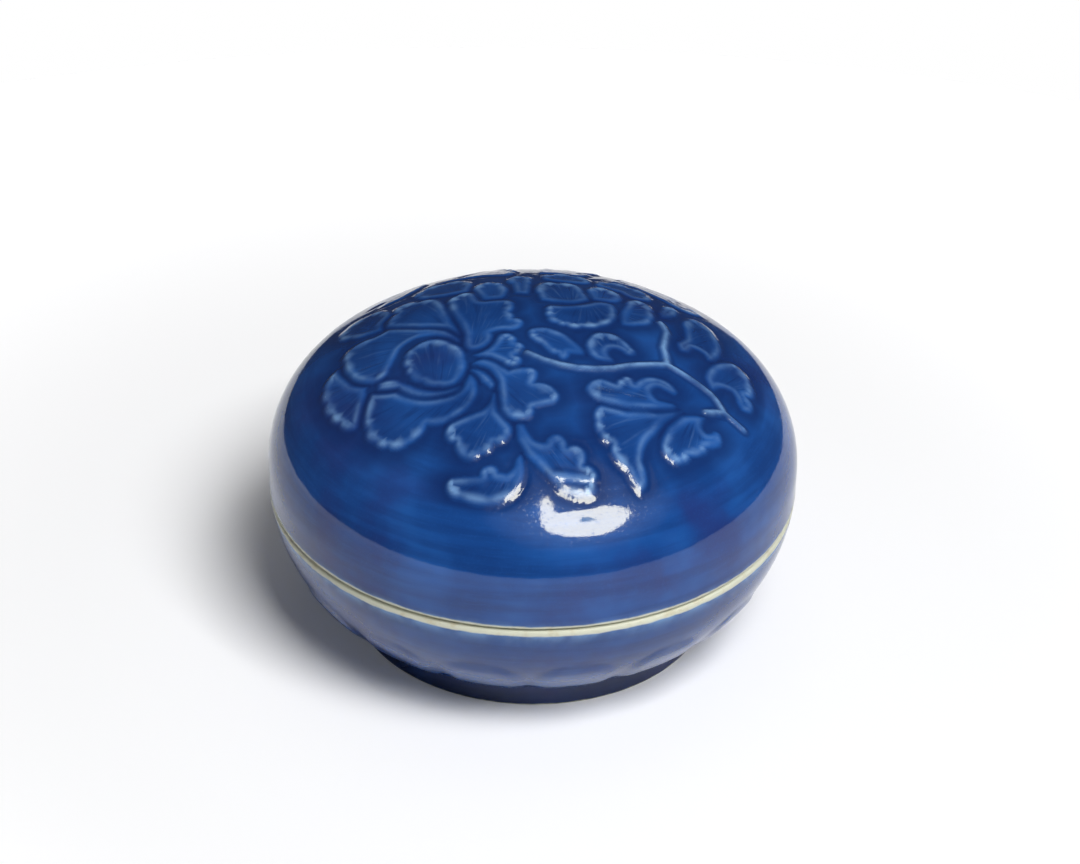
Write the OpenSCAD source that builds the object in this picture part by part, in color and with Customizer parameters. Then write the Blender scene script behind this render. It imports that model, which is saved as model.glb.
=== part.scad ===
// Seal paste box: a round porcelain bowl with a domed lid that drops over an upright
// gallery, a moulded peony scroll on the crown, and a pad of vermilion paste inside.
// The origin is on the standing plane, in the centre of the foot ring.

/* [Overall] */
// Outside diameter of the bowl and the lid where they meet
box_d = 86; // [78:1:96]
// Height of the joint line between bowl and lid above the table
seam_z = 24.5; // [22:0.5:26]

/* [Lid] */
// Height of the plain upright skirt of the lid
skirt_h = 4.5; // [3:0.5:6]
// Radius of the crown arc of the dome
crown_r = 62; // [57:0.5:66]
// Radius of the shoulder arc that runs from the crown into the skirt
shoulder_r = 16.5; // [13:0.5:17]
// Thickness of the lid's wall
lid_wall = 2.6; // [2:0.1:3.4]
// Bevel on the outer edge of the lid's rim
lid_bevel = 0.5; // [0.2:0.1:0.8]

/* [Relief on the lid] */
// Height of the raised rim of each petal and leaf above the dome
rim_h = 0.6; // [0.4:0.1:1]
// Height of the hollowed face inside the rim above the dome
dish_h = 0.25; // [0.1:0.05:0.35]
// Width of the raised rim of each petal and leaf
rim_w = 0.7; // [0.5:0.1:1]
// Width of the winding stem
stem_w = 1.3; // [1:0.1:1.8]
// Depth that each sprig is pressed into the clay under it
root = 0.3; // [0.2:0.05:0.5]
// Plain strip between the relief and the start of the shoulder
field_margin = 0.5; // [0.3:0.1:2]

/* [Bowl] */
// Radius of the arc of the bowl's outer wall
belly_r = 24.5; // [24:0.5:27]
// Radius of the arc where the inner wall runs into the floor
cavity_r = 17.5; // [15:0.5:19]
// Thickness of the bowl's base under the paste
base_t = 2.5; // [2:0.1:4]
// Height of the bare bevel on the outer edge of the bowl's rim
rim_bevel_h = 0.9; // [0.5:0.1:1.3]
// Width of the bare bevel on the outer edge of the bowl's rim
rim_bevel_w = 0.7; // [0.4:0.1:0.9]

/* [Gallery] */
// Height of the upright gallery above the bowl's rim
gallery_h = 4.4; // [3:0.2:6]
// Thickness of the gallery
gallery_t = 2.2; // [1.8:0.1:2.8]
// Free space between the gallery and the inside of the lid
lid_clear = 0.6; // [0.3:0.1:0.8]

/* [Foot ring] */
// Radius of the foot ring where it joins the bowl
foot_r = 30; // [27:0.5:31]
// Height of the foot ring
foot_h = 4.5; // [3:0.5:6]
// Wall thickness of the foot ring
foot_t = 2.8; // [2:0.1:4]
// Amount that the foot ring narrows from the bowl down to the table
foot_taper = 0.4; // [0:0.1:1]
// Bevel on both edges of the foot ring's standing face
foot_bevel = 0.4; // [0.2:0.1:0.6]

/* [Relief on the bowl] */
// Number of petals round the bowl's lower wall
petal_count = 16; // [12:1:18]
// Height of the petals above the wall
petal_h = 0.4; // [0.3:0.1:0.8]
// Gap between neighbouring petals
petal_gap = 1.2; // [0.8:0.1:2]
// Height of the petals' tips above the table
petal_top = 16; // [14:0.5:18]

/* [Paste] */
// Depth of the paste at its edge
paste_h = 10; // [6:0.5:13]
// Rise of the paste from its edge to its centre
paste_rise = 1.6; // [0.5:0.1:3]
// Gap between the paste and the bowl's wall
paste_gap = 0.3; // [0.2:0.05:0.5]

/* [Hidden] */
$fn = 128;

glaze = [0.09, 0.17, 0.52];
pale_glaze = [0.30, 0.42, 0.78];
bare_clay = [0.88, 0.88, 0.80];
paste_red = [0.74, 0.08, 0.05];

// Lid profile: skirt, shoulder arc and crown arc meet without a corner
box_r = box_d / 2;
skirt_top = seam_z + skirt_h;
shoulder_c = [box_r - shoulder_r, skirt_top];
crown_cz = skirt_top - sqrt(pow(crown_r - shoulder_r, 2) - pow(box_r - shoulder_r, 2));
blend_a = atan2(skirt_top - crown_cz, box_r - shoulder_r);
field_r = crown_r * cos(blend_a) - field_margin;
arc_step = 2.5;

// Fit of the lid over the gallery
lid_in_r = box_r - lid_wall;
gallery_r = lid_in_r - lid_clear;
cavity_rim_r = gallery_r - gallery_t;

// Bowl profile: the outer arc stands upright near the rim and ends on the foot ring
belly_c = [box_r - belly_r, foot_h + sqrt(pow(belly_r, 2) - pow(foot_r - box_r + belly_r, 2))];
floor_z = foot_h + base_t;
cavity_c = [cavity_rim_r - cavity_r, floor_z + cavity_r];

function on_arc(c, r, a) = c + r * [cos(a), sin(a)];
function arc_line(c, r, a0, a1, step = arc_step) =
    let (n = ceil(abs(a1 - a0) / step))
    [for (i = [0:n]) on_arc(c, r, a0 + (a1 - a0) * i / n)];
function mid_angle(c, r, z) = asin((z - c.y) / r);

// Plan of the relief. Each outline is a list of [x, y, swell] in millimetres, seen from above
// and taken anticlockwise. The arc to the next point swells outwards by that share of half
// its chord, and a negative swell is a hollow. The outlines are drawn for a field of this
// radius.
drawn_r = 36.3;
plan_k = field_r / drawn_r;
swell_steps = 3;

function swell_arc(p, q, b) =
    abs(b) < 0.02 ? [p] :
    let (c = q - p, a = 4 * atan(b), r = abs(norm(c) / 2 / sin(a / 2)),
         m = (p + q) / 2 + [-c.y, c.x] / norm(c) * (norm(c) / 2 / tan(a / 2)),
         a0 = atan2(p.y - m.y, p.x - m.x),
         n = abs(b) > 0.2 ? swell_steps : 2)
    [for (i = [0:n - 1]) m + r * [cos(a0 + a * i / n), sin(a0 + a * i / n)]];
function trace(list) =
    [for (i = [0:len(list) - 1])
        let (p = list[i], q = list[(i + 1) % len(list)])
        each swell_arc([p.x, p.y], [q.x, q.y], p[2])] * plan_k;

function turned(list, a) =
    [for (p = list) [p.x * cos(a) - p.y * sin(a), p.x * sin(a) + p.y * cos(a), p[2]]];

boss = [[-19.5, -3.8, .35], [-20.5, -6, .4], [-20, -8.5, .4], [-19.5, -10.5, .3],
    [-17.5, -12.7, .25], [-15, -14.3, .25], [-12.5, -14.5, .3], [-11, -9, .25],
    [-13.3, -4.6, .2], [-16.5, -2.5, .2]];

cup_petal = [[-24.5, -10, 0], [-24.5, -11.5, .1], [-21.3, -12.5, .1], [-19.7, -14.5, .15],
    [-16, -16.3, .1], [-12, -15.9, 0], [-11.6, -15.2, -.05], [-14, -15.6, -.1],
    [-17, -14.7, -.1], [-19.5, -12.8, -.1], [-21.5, -10.8, .2]];
low_left_petal = [[-25.5, -12, .1], [-26.5, -17, .2], [-26, -19, .4], [-24.5, -22, .4],
    [-22.5, -23.5, .4], [-19, -24, .3], [-16.5, -21.5, .25], [-13, -21.5, .1],
    [-10, -19.5, .25], [-9, -15.5, .2], [-10, -13, 0], [-11, -15.5, -.3],
    [-14.5, -17, -.15], [-18.5, -16, -.1], [-21.5, -13.5, -.1]];
left_petal = [[-12, -4.5, .1], [-14.5, -.5, .05], [-18.5, 1.5, 0], [-23.5, 4.5, -.1],
    [-26, 3.5, .25], [-30, 2.5, .3], [-30.5, -1, .15], [-29.5, -5, .1], [-28.5, -7, .1],
    [-25.5, -9.5, .5], [-23, -7.5, 0], [-21.5, -3, -.2], [-18.5, -1, -.15],
    [-15, -1.9, -.1]];
far_left_petal = [[-31.5, -2, .3], [-33.5, -6, .3], [-33, -9.5, .3], [-32, -13, .3],
    [-30.5, -15.5, .35], [-28, -18, .2], [-27.5, -17.5, 0], [-27, -14, 0],
    [-26.5, -11.5, -.1], [-26.5, -10, -.1], [-29, -8, 0], [-30.3, -5.5, -.1]];
up_left_petal = [[-12, -2.5, 0], [-13.5, 2, .05], [-14.5, 6.5, .1], [-16, 11.5, .3],
    [-19, 12.5, .4], [-22.5, 13, .5], [-22.5, 10, .2], [-24, 7, .2], [-23.5, 5.2, 0],
    [-18.5, 2.2, -.05], [-14, 0, -.1]];
rear_left_petal = [[-24.8, 5.5, 0], [-24.8, 8, 0], [-23.6, 10.5, .2], [-24.5, 13.5, .4],
    [-27.5, 14.5, .35], [-31, 12.5, .35], [-32, 9.5, .4], [-30, 7, .3], [-27, 5.5, .2]];
tall_petal = [[-10, -7, .3], [-7.5, -6, .3], [-7, -3, -.2], [-4.5, -2.5, .5], [-2, -1, .5],
    [-3.5, 1, .2], [-4, 3, .2], [-3.5, 5.5, .4], [-5, 7.5, 0], [-8, 7.5, -.3],
    [-9.5, 9, 0], [-10, 11.5, .5], [-13, 11.5, .4], [-14, 8.5, .1], [-13.5, 5, 0],
    [-12, 1, 0], [-11, -3, .05], [-11, -5.5, .3]];
crown_petal = [[-8.5, 8.5, 0], [-5.5, 8.5, .2], [-4.8, 10.5, .2], [-5.3, 14.5, .4],
    [-6.8, 16, .5], [-9, 16, .4], [-10, 13, 0], [-9.2, 10.5, 0]];
rear_petal = [[-11, 13, 0], [-10.5, 16, .3], [-11.5, 19, .5], [-15, 20, .5],
    [-19, 18.5, .5], [-19.5, 15.5, .3], [-17.5, 13.5, 0], [-15, 12.8, 0]];
edge_petal = [[-9.5, -8.5, .1], [-7, -9.3, 0], [-5, -10.8, .2], [-4, -11.8, .4],
    [-2.2, -11.3, .5], [-3, -9.3, .3], [-1.8, -8, .5], [-3, -6, .3], [-3.5, -4.2, .4],
    [-5.5, -3.8, .1], [-6.2, -5.5, -.1], [-7.2, -7.3, -.1]];
low_petal = [[-6.2, -17.5, -.2], [-8, -20.5, 0], [-12.5, -22, .4], [-13.5, -24.5, .3],
    [-12, -25.5, .3], [-10.5, -28.5, .4], [-8, -28, .4], [-6, -26.5, .4],
    [-3.8, -25.5, .3], [-3.5, -23.8, 0], [-5.7, -20.8, 0]];
hand_petal = [[-9.5, -10.5, -.1], [-7, -12, -.1], [-5.5, -15, 0], [-5, -20.5, .1],
    [-4, -22, .2], [-1, -22.5, .4], [0, -20.5, 0], [3, -19.5, .5], [3.5, -17, .3],
    [0, -15.5, .1], [.5, -13.5, .5], [-1.5, -12.3, .2], [-4, -12.8, 0], [-6, -11, .1],
    [-8, -9.8, .2]];
sliver_petal = [[-9.8, -12, -.1], [-8, -14.8, -.1], [-6.8, -16.2, .4], [-6.3, -15.2, .1],
    [-8, -12.8, .2]];

back_low_petal = [[2, 1.5, .5], [3.5, -.5, .4], [5, -1, .5], [7.5, -1, .3], [10.5, 0, .2],
    [12.5, 2.5, .2], [13, 5.5, .1], [12.5, 8.5, .3], [9.5, 8.3, -.1], [6.5, 6.2, -.15],
    [2.5, 5.5, .4], [1.8, 3.5, .3]];
back_mid_petal = [[1, 7.5, .1], [6, 7, .1], [8.5, 9, .2], [7.8, 12, .1], [7, 15, .35],
    [3.5, 15.5, .35], [.8, 15, .3], [.5, 10, .1]];
back_side_petal = [[9.3, 9.5, .1], [13, 10, .2], [14, 12.5, .3], [12, 15.5, .4],
    [9, 15, .3], [8.6, 12.5, .1]];
back_right_petal = [[14, 2, .2], [16.5, 3, .3], [18.8, 6, .2], [19, 9.5, .3],
    [18.3, 12.5, .4], [15.5, 12.5, .2], [14.8, 10, 0], [13.8, 5.5, .1]];
back_top_petal = [[2, 17.3, .1], [8, 17, .3], [9, 19, .4], [6, 21.5, .5], [2.5, 21, .5],
    [1, 19, .3]];
back_left_petal = [[-3.3, 10.5, 0], [-1.3, 10, .1], [-1, 14.5, .1], [-.8, 17, .5],
    [-2, 19.3, .5], [-4.3, 18.5, .4], [-3.8, 15, 0]];
back_rear_petal = [[10.3, 17, .1], [14, 15.8, .2], [16, 13.8, .1], [18, 14.3, .5],
    [18.5, 17.5, .5], [15.5, 20, .5], [11.5, 20.3, .5], [10, 18.8, .3]];

curl_leaf = [[8, -16, .3], [10.5, -18, .1], [16, -18, .05], [21.8, -15.8, .4],
    [21.8, -14.9, 0], [19.5, -15.2, -.35], [18.3, -13.5, -.3], [19.8, -12.2, 0],
    [21.8, -12.8, .5], [22.2, -11.5, .3], [19.5, -10.2, .2], [16.8, -11.5, .1],
    [15.7, -13, 0], [15.3, -12, .6], [13.7, -12.5, .3], [12.8, -13.9, 0],
    [10.5, -13.4, .3]];
fan_leaf = [[23, -15.9, 0], [19, -17.8, .05], [14.5, -19, 0], [10.5, -18.8, .4],
    [9.5, -21.8, .3], [10, -24, .4], [12, -25.3, .2], [12.2, -27, .2], [14.5, -29, .1],
    [16.5, -31.8, .2], [17.5, -30, .1], [16.8, -27, -.05], [17.2, -24.5, -.1],
    [18.8, -21.8, 0], [20.3, -19, 0]];
hook_leaf = [[23.2, -16.7, 0], [21.2, -19.5, .05], [19.8, -23, .3], [20.8, -25.3, .4],
    [23.3, -25, .3], [24.3, -23.5, .2], [26.3, -22.2, .3], [27, -20.8, .1],
    [29, -19.3, .3], [29, -17, .4], [28.2, -17.3, -.2], [27, -18.2, -.4], [26.3, -16.5, -.1],
    [26.8, -15.2, 0], [25.3, -15.6, 0]];
wing_leaf = [[-2.5, -23.5, 0], [-2.3, -26, 0], [-1, -28.3, .05], [2.8, -32, .1],
    [6, -32.2, .1], [9.3, -32, .5], [9.5, -30, .3], [7.8, -29.5, .2], [8, -27.5, .5],
    [5.2, -27, .2], [4.8, -25.7, .5], [2.5, -25.5, .2], [2, -26.5, -.2], [0, -26, -.1],
    [-1.5, -23.5, .3]];
tuck_leaf = [[2.8, -33, .1], [4.5, -34.7, .2], [8, -34.8, .4], [9.6, -33.2, .3],
    [8, -32.9, 0], [5, -33, 0]];
moon_leaf = [[-13.3, -32, .35], [-11, -34.2, .15], [-6.5, -35.5, .2], [-2.5, -34, .2],
    [-1.4, -30.5, .1], [-1.9, -28.6, .3], [-2.6, -30, -.2], [-4, -31.3, 0],
    [-5.2, -31, .5], [-7.3, -30, .4], [-8, -31.4, 0], [-12, -31, .4]];

small_leaf = [[-1, -3.8, .2], [-.5, -5.2, .1], [1, -6.5, 0], [2, -8, .3], [3.6, -8.8, .2],
    [4.5, -10, .3], [5.5, -8.3, 0], [7.5, -8.3, .3], [7.5, -7, 0], [5, -3.8, .1],
    [2, -2, .1], [-.3, -2.2, .4]];
snail_leaf = [[8.3, -7, .2], [9.8, -9, .1], [12.3, -9, 0], [12.2, -8.2, -.3],
    [11.6, -6.5, -.35], [13, -5.5, -.2], [14.2, -6.2, .5], [15.7, -6, .4],
    [15.3, -4.3, .1], [14, -2.7, .3], [11, -1.7, .3], [8.7, -3.5, .2]];
bell_leaf = [[23.3, -.8, .3], [24.6, -.3, 0], [25.3, 1.3, -.3], [27.2, 1, 0],
    [27.8, -.3, .3], [29, .8, .1], [30.2, 5, .1], [29.3, 10.5, .2], [27, 13.5, .4],
    [24.8, 12, .2], [24.2, 7.5, 0], [24.3, 4, -.1], [23, 1.5, .2]];
outer_leaf = [[28.2, -8.2, 0], [29.3, -6.8, -.2], [31.5, -6, -.2], [32.3, -8, 0],
    [33, -9.3, .4], [34.7, -8, .3], [34, -5.3, .2], [35, -4.5, .2], [34.8, -1, .3],
    [33, 2, .4], [31.3, 2, .1], [28.5, -1.5, .1], [27.2, -5.5, .1]];
bud_leaf = [[20.5, 8.8, .1], [22, 10, .1], [23.4, 13.5, .4], [22.3, 15.3, .4],
    [20.8, 13, 0], [20.2, 10.5, 0]];

rear_fan_leaf = turned(fan_leaf, 165);
rear_hook_leaf = turned(hook_leaf, 176);
rear_wing_leaf = [[.5, 22.5, 0], [3.5, 23, .1], [6.5, 22.3, .3], [9, 24.3, .3],
    [8.2, 26.3, .2], [10.5, 27.5, .5], [9.5, 30, .2], [10.3, 32.5, .4], [7.5, 33.5, .3],
    [5.5, 32.3, .2], [3.5, 34.2, .5], [1, 32.5, .1], [1.5, 29, -.1], [.5, 26, 0]];
rear_curl_leaf = [[12, 22.3, .1], [16.5, 21.5, .05], [21, 18.3, .1], [24, 16.2, .3],
    [27, 17, .4], [27.3, 19.5, .3], [25.5, 20.3, .2], [24.5, 19, -.3], [23, 19.8, -.2],
    [24, 22.3, .3], [22, 25, .4], [19.5, 25.8, .2], [18.5, 28.3, .4], [15.5, 29, .4],
    [13.5, 27, .2], [14, 25, -.1]];

// Centre lines of the stems, as points and swells along each run
stems = [
    [[-1.2, -8.8, .33], [15, -9, 0], [21, -6.2, -.05], [28, -9.3, -.1], [30, -12.2, 0],
     [33, -13.5, 0]],
    [[21, -5.8, .05], [20.5, -2, 0], [21.2, 3, .1], [20.3, 6.2, 0]],
    [[29.6, -12.5, 0], [27, -13.9, 0]]];

// Points along a stem's centre line, without its last point's swell
function run_points(list) = concat(
    [for (i = [0:len(list) - 2])
        each swell_arc([list[i].x, list[i].y], [list[i + 1].x, list[i + 1].y],
                       list[i][2])],
    [[list[len(list) - 1].x, list[len(list) - 1].y]]);
function run_side(p, i) =
    let (a = p[max(i - 1, 0)], b = p[min(i + 1, len(p) - 1)], d = (b - a) / norm(b - a))
    [-d.y, d.x];
function strip(list, w) =
    let (p = run_points(list) * plan_k, n = len(p))
    concat([for (i = [0:n - 1]) p[i] - run_side(p, i) * w / 2],
           [for (i = [n - 1:-1:0]) p[i] + run_side(p, i) * w / 2]);

// Body of the dome's crown sphere, raised by h
module crown_ball(h) {
    translate([0, 0, crown_cz]) sphere(r = crown_r + h);
}

// Upright prisms over the given outlines, tall enough to pass through the dome
module plan(outlines, inset = 0) {
    translate([0, 0, seam_z])
        linear_extrude(height = crown_r)
            for (o = outlines)
                if (inset > 0) offset(delta = -inset) polygon(trace(o));
                else polygon(trace(o));
}

// Petals or leaves with raised rims and hollowed faces, rooted in the dome. The narrow
// ones are plain ridges without a hollow.
module sprigs(wide, narrow = []) {
    difference() {
        intersection() {
            plan(concat(wide, narrow));
            crown_ball(rim_h);
        }
        crown_ball(-root);
        difference() {
            plan(wide, rim_w);
            crown_ball(dish_h);
        }
    }
}

// Shoulder and crown of the dome from the skirt up to the axis, moved in by inset
function dome_line(inset) =
    let (crown = arc_line([0, crown_cz], crown_r - inset, blend_a, 90))
    concat(arc_line(shoulder_c, shoulder_r - inset, 0, blend_a),
           [for (i = [1:len(crown) - 1]) [max(crown[i].x, 0), crown[i].y]]);

module lid() {
    outer = dome_line(0);
    inner = dome_line(lid_wall);
    color(glaze)
        rotate_extrude()
            polygon(concat(
                [[lid_in_r, seam_z], [box_r - lid_bevel, seam_z], [box_r, seam_z + lid_bevel]],
                outer,
                [for (i = [len(inner) - 1:-1:0]) inner[i]]));
}

module peony_boss() { color(pale_glaze) sprigs([boss]); }
module peony_petals() {
    color(pale_glaze)
        sprigs([low_left_petal, left_petal, far_left_petal, up_left_petal,
                rear_left_petal, tall_petal, crown_petal, rear_petal, edge_petal,
                low_petal, hand_petal],
               [cup_petal, sliver_petal]);
}
module peony_back() {
    color(pale_glaze)
        sprigs([back_low_petal, back_mid_petal, back_side_petal, back_right_petal,
                back_top_petal, back_left_petal, back_rear_petal]);
}
module front_leaves() {
    color(pale_glaze)
        sprigs([curl_leaf, fan_leaf, hook_leaf, wing_leaf, moon_leaf], [tuck_leaf]);
}
module side_leaves() {
    color(pale_glaze) sprigs([small_leaf, snail_leaf, bell_leaf, outer_leaf, bud_leaf]);
}
module back_leaves() {
    color(pale_glaze) sprigs([rear_fan_leaf, rear_hook_leaf, rear_wing_leaf, rear_curl_leaf]);
}
module vine_stem() {
    color(pale_glaze)
        difference() {
            intersection() {
                translate([0, 0, seam_z])
                    linear_extrude(height = crown_r)
                        for (s = stems) polygon(strip(s, stem_w));
                crown_ball(rim_h);
            }
            crown_ball(-root);
        }
}

module bowl() {
    rim_out = box_r - rim_bevel_w;
    wall_top = seam_z - rim_bevel_h;
    color(glaze)
        rotate_extrude()
            polygon(concat(
                [[0, foot_h]],
                arc_line(belly_c, belly_r, mid_angle(belly_c, belly_r, foot_h),
                         mid_angle(belly_c, belly_r, wall_top)),
                [[rim_out, seam_z], [cavity_rim_r, seam_z]],
                arc_line(cavity_c, cavity_r, min(0, mid_angle(cavity_c, cavity_r, seam_z)),
                         -90),
                [[0, floor_z]]));
}

// One upright petal of the band on the bowl's lower wall, seen from outside. Its sides
// follow the wall as it widens, so that the gap to the next petal stays the same, and its
// tip is the upper half of an oval.
petal_foot = foot_h + 1.5;
petal_tip_h = 4.5;
function wall_r(z) = belly_c.x + sqrt(pow(belly_r, 2) - pow(belly_c.y - z, 2));
function petal_half(z) = (2 * PI * wall_r(z) / petal_count - petal_gap) / 2;
module wall_petal() {
    side_top = petal_top - petal_tip_h;
    side = [for (i = [0:3]) let (z = petal_foot + (side_top - petal_foot) * i / 3)
        [petal_half(z), z]];
    tip = [for (a = [18:18:162]) [petal_half(side_top) * cos(a), side_top + petal_tip_h * sin(a)]];
    polygon(concat(side, tip, [for (i = [3:-1:0]) [-side[i].x, side[i].y]]));
}

// Outer half of the ring whose tube is the bowl's outer wall, raised by h
module belly_ring(h) {
    rotate_extrude()
        intersection() {
            translate(belly_c) circle(r = belly_r + h);
            translate([cavity_c.x, 0]) square([box_r, box_d]);
        }
}
module bowl_petals() {
    color(pale_glaze)
        difference() {
            intersection() {
                for (i = [0:petal_count - 1])
                    rotate([0, 0, 360 / petal_count * (i + 0.5)])
                        rotate([90, 0, 0])
                            linear_extrude(height = box_r)
                                wall_petal();
                belly_ring(petal_h);
            }
            belly_ring(-root);
        }
}

module gallery_ring() {
    mid_r = gallery_r - gallery_t / 2;
    color(bare_clay)
        rotate_extrude()
            polygon(concat(
                [[gallery_r - gallery_t, seam_z], [gallery_r, seam_z]],
                arc_line([mid_r, seam_z + gallery_h - gallery_t / 2], gallery_t / 2, 0, 180,
                         15)));
}

module foot_ring() {
    out_low = foot_r - foot_taper;
    in_low = foot_r - foot_t;
    color([0.05, 0.07, 0.2])
        rotate_extrude()
            polygon([[in_low, foot_h], [in_low, foot_bevel], [in_low + foot_bevel, 0],
                     [out_low - foot_bevel, 0], [out_low, foot_bevel], [foot_r, foot_h]]);
}

module seal_paste() {
    edge_z = floor_z + paste_h;
    pad_r = cavity_r - paste_gap;
    edge_a = mid_angle(cavity_c, pad_r, edge_z);
    edge_r = on_arc(cavity_c, pad_r, edge_a).x;
    mound_r = (pow(edge_r, 2) + pow(paste_rise, 2)) / (2 * paste_rise);
    color(paste_red)
        rotate_extrude()
            polygon(concat(
                [[0, floor_z], [cavity_c.x - paste_gap, floor_z]],
                arc_line(cavity_c, pad_r, -90, edge_a),
                arc_line([0, edge_z + paste_rise - mound_r], mound_r,
                         acos(edge_r / mound_r), 90)));
}

bowl();
bowl_petals();
foot_ring();
gallery_ring();
seal_paste();
lid();
peony_boss();
peony_petals();
peony_back();
vine_stem();
front_leaves();
side_leaves();
back_leaves();
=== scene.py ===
import math

import bmesh
import bpy
import numpy as np
from mathutils import Matrix, Vector, noise


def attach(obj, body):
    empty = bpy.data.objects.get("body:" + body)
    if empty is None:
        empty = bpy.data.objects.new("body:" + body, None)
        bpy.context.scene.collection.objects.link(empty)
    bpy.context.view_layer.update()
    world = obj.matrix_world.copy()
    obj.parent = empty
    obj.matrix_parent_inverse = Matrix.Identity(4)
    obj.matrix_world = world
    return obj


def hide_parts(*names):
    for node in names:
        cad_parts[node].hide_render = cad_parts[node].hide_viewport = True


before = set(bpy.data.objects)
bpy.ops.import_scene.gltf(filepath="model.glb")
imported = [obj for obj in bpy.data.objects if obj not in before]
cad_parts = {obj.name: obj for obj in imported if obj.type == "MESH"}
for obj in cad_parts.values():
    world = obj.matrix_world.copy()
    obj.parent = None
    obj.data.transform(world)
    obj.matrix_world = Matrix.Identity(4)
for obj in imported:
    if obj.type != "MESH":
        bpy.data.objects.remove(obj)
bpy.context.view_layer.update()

# FOOT RING
# The upright ring that the box stands on, cut from the bowl's own porcelain. It is dipped in
# the blue glaze, which lies thick and dark here, and its standing edge is wiped bare.
MM = 0.001  # sizes are in millimetres, and the shaders' heights in metres
foot_out, foot_low, foot_in, foot_h = 30.0, 29.6, 27.2, 4.5
foot_round, foot_straight_from = 0.4, 0.8
foot_into_bowl = 0.15
ring_steps = 320
foot_bare_from, foot_bare_to = -0.001, 0.00028
night_blue = (0.0045, 0.015, 0.064)
night_sheen = (0.0100, 0.031, 0.116)
deep_blue = (0.0022, 0.017, 0.100)
violet_blue = (0.0150, 0.026, 0.140)
# The next blue stands for thinned glaze on the relief's crests and for painted sheen there.
thin_and_sheen_blue = (0.170, 0.330, 0.600)
bare_clay = (0.590, 0.600, 0.490)
stained_clay = (0.480, 0.420, 0.270)
surface_ior = 1.54
band_dark, brush_light, cloud_tint, grain_light = 0.40, 0.20, 0.7, 0.14
pool_and_shade_dark, hollow_dark, comb_dark, comb_light = 0.92, 0.30, 0.45, 0.13
gloss_low, gloss_high, dull_gloss, thin_gloss, clay_gloss = 0.035, 0.075, 0.36, 0.30, 0.62
ripple_h, comb_h, peel_h = 0.000022, 0.00006, 0.0000055
blue_edge_soft, blue_edge_wander = 0.00016, 0.0005


def arc(centre, radius, start, end, step):
    """Points of an arc in the plane of the axis, in millimetres and degrees."""
    count = max(1, math.ceil(abs(end - start) * math.pi / 180 * radius / step))
    angles = np.radians(np.linspace(start, end, count + 1))
    return [(centre[0] + radius * math.cos(a), centre[1] + radius * math.sin(a)) for a in angles]


def line(start, end, step):
    """Points of a straight stretch of a profile, without its last one."""
    count = max(1, math.ceil(math.dist(start, end) / step))
    across, up = end[0] - start[0], end[1] - start[1]
    return [(start[0] + across * i / count, start[1] + up * i / count) for i in range(count)]


def throw(profile, steps, ring=False):
    """Turns a profile of radius and height round the box's axis, as on a potter's wheel."""
    bm = bmesh.new()
    verts = [bm.verts.new((r * MM, 0, z * MM)) for r, z in profile]
    pairs = list(zip(verts, verts[1:])) + ([(verts[-1], verts[0])] if ring else [])
    edges = [bm.edges.new(pair) for pair in pairs]
    bmesh.ops.spin(bm, geom=verts + edges, cent=(0, 0, 0), axis=(0, 0, 1), dvec=(0, 0, 0),
                   angle=math.tau, steps=steps, use_merge=True, use_duplicate=False)
    bmesh.ops.remove_doubles(bm, verts=bm.verts, dist=1e-7)
    bmesh.ops.recalc_face_normals(bm, faces=bm.faces)
    return bm


def fire(name, bm, body, nodes, materials):
    """Makes a bmesh a piece that rides on a body in place of CAD nodes."""
    mesh = bpy.data.meshes.new(name)
    bm.to_mesh(mesh)
    bm.free()
    mesh.shade_smooth()
    piece = bpy.data.objects.new(name, mesh)
    bpy.context.scene.collection.objects.link(piece)
    for material in materials:
        mesh.materials.append(material)
    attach(piece, body)
    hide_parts(*nodes)
    return piece


class Nodes:
    """The nodes of a material or of the world, added one at a time."""

    def __init__(self, tree):
        self.tree = tree

    def feed(self, socket, value):
        if isinstance(value, bpy.types.NodeSocket):
            self.tree.links.new(value, socket)
        elif isinstance(value, tuple) and len(value) == 3 and socket.type == "RGBA":
            socket.default_value = (*value, 1)
        else:
            socket.default_value = value

    def node(self, kind, out=0, settings=(), **inputs):
        """Adds a node and returns one output. An input is named, or i0, i1, i2 by its place."""
        made = self.tree.nodes.new("ShaderNode" + kind)
        for key, value in dict(settings).items():
            setattr(made, key, value)
        for key, value in inputs.items():
            self.feed(made.inputs[int(key[1:]) if key[0] == "i" and key[1:].isdigit() else key],
                      value)
        return made.outputs[out] if made.outputs else None

    def span(self, value, low, high, to_low=0.0, to_high=1.0):
        return self.node("MapRange", settings={"interpolation_type": "SMOOTHSTEP"}, i0=value,
                         i1=low, i2=high, i3=to_low, i4=to_high)

    def maths(self, kind, a, b):
        return self.node("Math", settings={"operation": kind}, i0=a, i1=b)

    def times(self, a, b):
        return self.maths("MULTIPLY", a, b)

    def blend(self, factor, a, b):
        return self.node("Mix", 2, {"data_type": "RGBA"}, i0=factor, i6=a, i7=b)

    def shade(self, factor, a, b):
        return self.node("Mix", 0, {"data_type": "FLOAT"}, i0=factor, i2=a, i3=b)


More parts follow.
